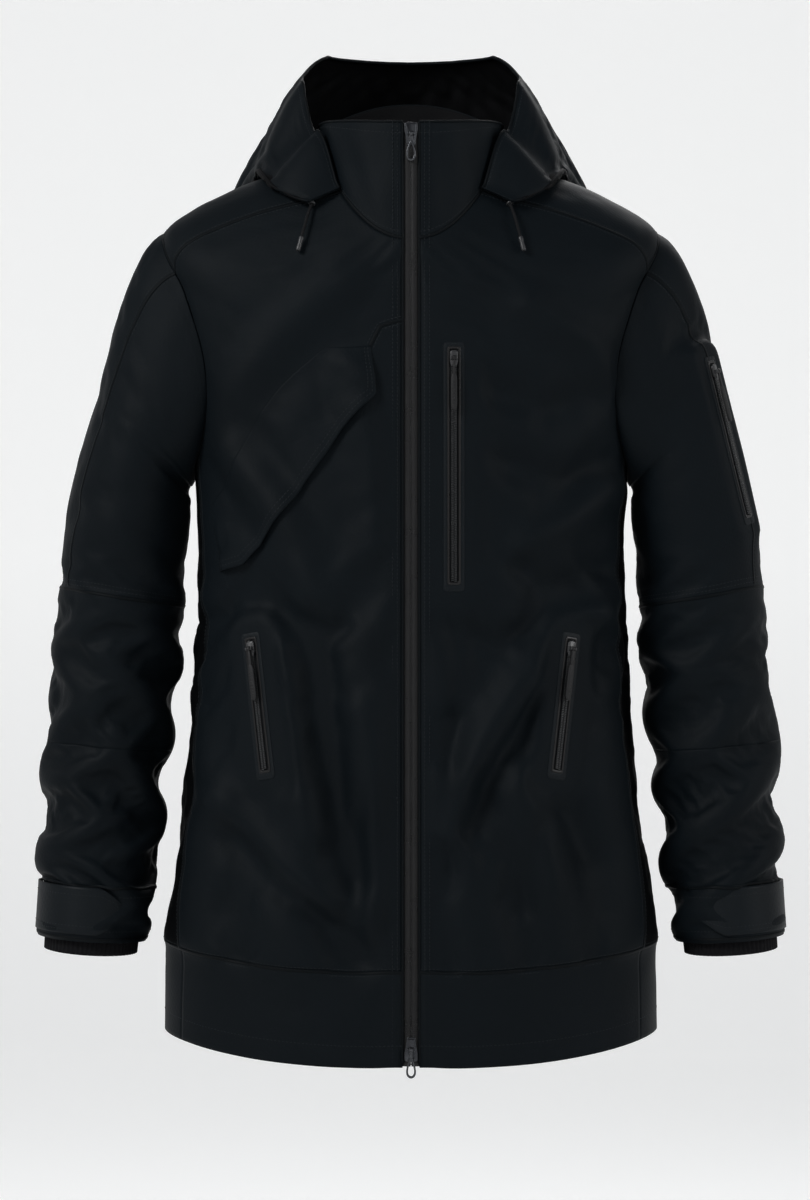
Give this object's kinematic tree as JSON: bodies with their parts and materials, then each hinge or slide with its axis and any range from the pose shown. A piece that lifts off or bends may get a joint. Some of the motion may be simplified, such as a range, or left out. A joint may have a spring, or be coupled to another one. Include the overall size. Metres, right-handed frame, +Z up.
{
  "type": "hardshell jacket",
  "caption": "Waterproof zip-front hardshell jacket with a folded-back hood, pocket zips, a chest flap, cuff tabs, bending elbows and a lifting hood.",
  "frame": {"origin": "in the neck opening on the centre plane, level with the back neck seam, where a hanger's hook comes out", "axes": "-Y is the front, +X the wearer's left, +Z up; the jacket stands as worn"},
  "size_m": [0.6468, 0.3257, 0.887],
  "materials": {
    "shell": "matt woven three-layer laminate",
    "shell_side": "matt woven stretch panel",
    "lining": "thin matt taffeta",
    "gaiter_knit": "ribbed stretch knit",
    "tab_laminate": "bonded laminate",
    "webbing": "woven webbing",
    "cord": "braided cord",
    "zip_tape": "woven tape",
    "zip_teeth": "moulded teeth",
    "welt": "bonded film",
    "slider_main": "satin gunmetal",
    "slider_pocket": "satin black",
    "puller_metal": "satin gunmetal",
    "puller_moulded": "matt moulded",
    "cord_fitting": "satin moulded"
  },
  "bodies": {
    "jacket": {"front_panel_left": "shell", "front_panel_right": "shell", "side_panel_left": "shell_side", "side_panel_right": "shell_side", "back_panel": "shell", "shoulder_yoke": "shell", "hem_band_left": "shell", "hem_band_right": "shell", "hem_band_back": "shell", "collar_left": "shell", "collar_right": "shell", "collar_lining": "lining", "hang_loop": "webbing", "main_zip_tape_left": "zip_tape", "main_zip_tape_right": "zip_tape", "main_zip_teeth_left": "zip_teeth", "main_zip_teeth_right": "zip_teeth", "storm_flap": "shell", "chest_pocket_welt": "welt", "chest_pocket_teeth": "zip_teeth", "chest_pocket_bag": "lining", "hand_pocket_welt_left": "welt", "hand_pocket_teeth_left": "zip_teeth", "hand_pocket_welt_right": "welt", "hand_pocket_teeth_right": "zip_teeth", "sleeve_upper_left": "shell", "sleeve_upper_right": "shell", "sleeve_elbow_left": "shell", "sleeve_elbow_right": "shell", "sleeve_pocket_welt": "welt", "sleeve_pocket_teeth": "zip_teeth", "powder_skirt": "lining", "hood_base": "shell", "hood_cord_left": "cord", "hood_cord_right": "cord", "hood_cord_tips": "cord_fitting", "hood_eyelets": "cord_fitting"},
    "top_slider": {"main_slider_top": "slider_main"},
    "top_pull": {"main_pull_top": "puller_metal"},
    "bottom_slider": {"main_slider_bottom": "slider_main"},
    "bottom_pull": {"main_pull_bottom": "puller_metal"},
    "chest_slider": {"chest_slider": "slider_pocket"},
    "chest_pull": {"chest_pull": "puller_moulded"},
    "flap": {"chest_flap": "shell"},
    "hand_slider_left_body": {"hand_slider_left": "slider_pocket"},
    "hand_pull_left_body": {"hand_pull_left": "puller_moulded"},
    "hand_slider_right_body": {"hand_slider_right": "slider_pocket"},
    "hand_pull_right_body": {"hand_pull_right": "puller_moulded"},
    "lower_arm_left": {"forearm_left": "shell", "cuff_left": "shell", "wrist_gaiter_left": "gaiter_knit"},
    "lower_arm_right": {"forearm_right": "shell", "cuff_right": "shell", "wrist_gaiter_right": "gaiter_knit"},
    "tab_left": {"cuff_tab_left": "tab_laminate"},
    "tab_right": {"cuff_tab_right": "tab_laminate"},
    "sleeve_slider_body": {"sleeve_slider": "slider_pocket"},
    "sleeve_pull_body": {"sleeve_pull": "puller_moulded"},
    "hood": {"hood_crown": "shell"}
  },
  "joints": [
    {"name": "main_slider_top_slide", "type": "slide", "parent": "jacket", "child": "top_slider", "axis": [0, -0.0619, -0.9981], "range_m": [0, 0.46]},
    {"name": "main_pull_top_swing", "type": "hinge", "parent": "top_slider", "child": "top_pull", "pos_m": [0, -0.10043, 0.01418], "axis": [-1, 0, 0], "range_deg": [0, 150]},
    {"name": "main_slider_bottom_slide", "type": "slide", "parent": "jacket", "child": "bottom_slider", "axis": [0, 0.0619, 0.9981], "range_m": [0, 0.24]},
    {"name": "main_pull_bottom_swing", "type": "hinge", "parent": "bottom_slider", "child": "bottom_pull", "pos_m": [0, -0.1478, -0.74982], "axis": [-1, 0, 0], "range_deg": [0, 150]},
    {"name": "chest_slider_slide", "type": "slide", "parent": "jacket", "child": "chest_slider", "axis": [0, -0.0619, -0.9981], "range_m": [0, 0.178]},
    {"name": "chest_pull_swing", "type": "hinge", "parent": "chest_slider", "child": "chest_pull", "pos_m": [0.036, -0.11448, -0.17532], "axis": [-1, 0, 0], "range_deg": [0, 150]},
    {"name": "hand_slider_left_slide", "type": "slide", "parent": "jacket", "child": "hand_slider_left_body", "axis": [-0.1143, -0.1395, -0.9836], "range_m": [0, 0.095]},
    {"name": "hand_pull_left_swing", "type": "hinge", "parent": "hand_slider_left_body", "child": "hand_pull_left_body", "pos_m": [0.13632, -0.10382, -0.41891], "axis": [-0.8763, -0.4523, 0.1659], "range_deg": [0, 150]},
    {"name": "hand_slider_right_slide", "type": "slide", "parent": "jacket", "child": "hand_slider_right_body", "axis": [0.1143, -0.1395, -0.9836], "range_m": [0, 0.095]},
    {"name": "hand_pull_right_swing", "type": "hinge", "parent": "hand_slider_right_body", "child": "hand_pull_right_body", "pos_m": [-0.13632, -0.10382, -0.41891], "axis": [-0.8763, 0.4523, -0.1659], "range_deg": [0, 150]},
    {"name": "sleeve_slider_slide", "type": "slide", "parent": "jacket", "child": "sleeve_slider_body", "axis": [0.2415, 0.0347, -0.9698], "range_m": [0, 0.118]},
    {"name": "sleeve_pull_swing", "type": "hinge", "parent": "sleeve_slider_body", "child": "sleeve_pull_body", "pos_m": [0.26225, -0.05331, -0.18267], "axis": [-0.5386, -0.8265, -0.1637], "range_deg": [0, 150]},
    {"name": "chest_flap_lift", "type": "hinge", "parent": "jacket", "child": "flap", "pos_m": [-0.13431, -0.09579, -0.22853], "axis": [-0.5697, 0.2901, -0.769], "range_deg": [0, 60]},
    {"name": "elbow_left_bend", "type": "hinge", "parent": "jacket", "child": "lower_arm_left", "pos_m": [0.257, 0.008, -0.43], "axis": [-1, 0, 0], "range_deg": [0, 70], "deforming": ["sleeve_elbow_left"]},
    {"name": "elbow_right_bend", "type": "hinge", "parent": "jacket", "child": "lower_arm_right", "pos_m": [-0.257, 0.008, -0.43], "axis": [-1, 0, 0], "range_deg": [0, 70], "deforming": ["sleeve_elbow_right"]},
    {"name": "cuff_tab_left_open", "type": "hinge", "parent": "lower_arm_left", "child": "tab_left", "pos_m": [0.32041, -0.00462, -0.63902], "axis": [-0.0514, 0.1461, 0.9879], "range_deg": [0, 100]},
    {"name": "cuff_tab_right_open", "type": "hinge", "parent": "lower_arm_right", "child": "tab_right", "pos_m": [-0.32041, -0.00462, -0.63902], "axis": [-0.0514, -0.1461, -0.9879], "range_deg": [0, 100]},
    {"name": "hood_lift", "type": "hinge", "parent": "jacket", "child": "hood", "pos_m": [0, -0.01, 0], "axis": [1, 0, 0], "range_deg": [0, 60], "deforming": ["hood_base"]}
  ]
}
